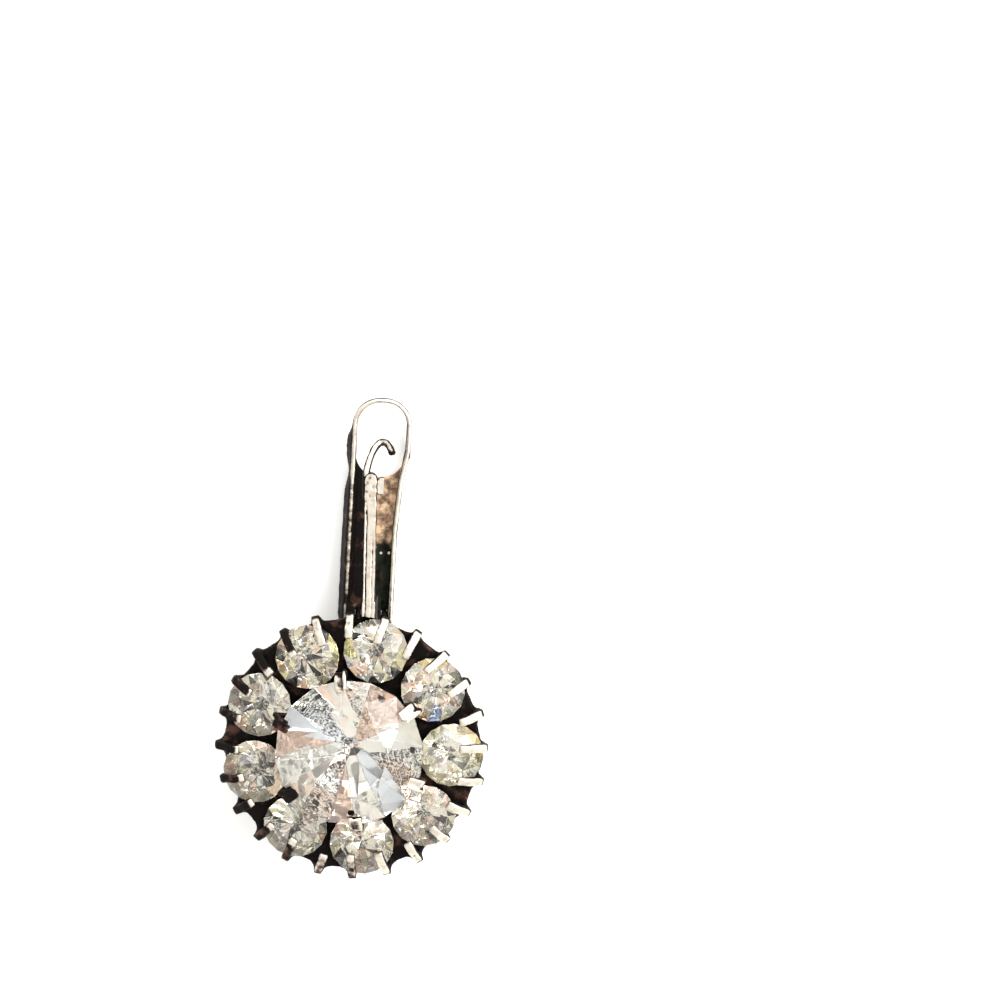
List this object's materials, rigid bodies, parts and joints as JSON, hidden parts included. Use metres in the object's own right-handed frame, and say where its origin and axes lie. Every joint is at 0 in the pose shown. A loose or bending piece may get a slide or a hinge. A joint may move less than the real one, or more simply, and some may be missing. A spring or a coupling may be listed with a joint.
{
  "type": "rock crystal earring",
  "caption": "Lever-back cluster earring: a raised round crystal in a ring of small ones, on a dark silver claw setting with a hook and a hinged lever.",
  "frame": {"origin": "middle of the bounding box in X and Y, on the surface that the earring lies on (z = 0, the flat of the setting's back ring)", "axes": "+Z out of the cluster's face, +Y along the ear fitting from the cluster to the lever's top, +X to the viewer's right when the face is seen with the fitting up"},
  "size_m": [0.0166, 0.0288, 0.0094],
  "materials": {
    "dark_silver": "oxidised silver, black in the recesses and worn bright on rims, prongs and edges",
    "crystal": "colourless, faceted and polished"
  },
  "bodies": {
    "head": {"setting": "dark_silver", "ear_hook": "dark_silver", "centre_stone": "crystal", "outer_stone_1": "crystal", "outer_stone_2": "crystal", "outer_stone_3": "crystal", "outer_stone_4": "crystal", "outer_stone_5": "crystal", "outer_stone_6": "crystal", "outer_stone_7": "crystal", "outer_stone_8": "crystal", "outer_stone_9": "crystal", "hinge_pin": "dark_silver"},
    "lever": {"lever": "dark_silver"}
  },
  "joints": [
    {"name": "lever_hinge", "type": "hinge", "parent": "head", "child": "lever", "pos_m": [0.00065, 0.00063, 0.00115], "axis": [-0.9939, 0.0347, 0.1045], "range_deg": [0, 70]}
  ]
}
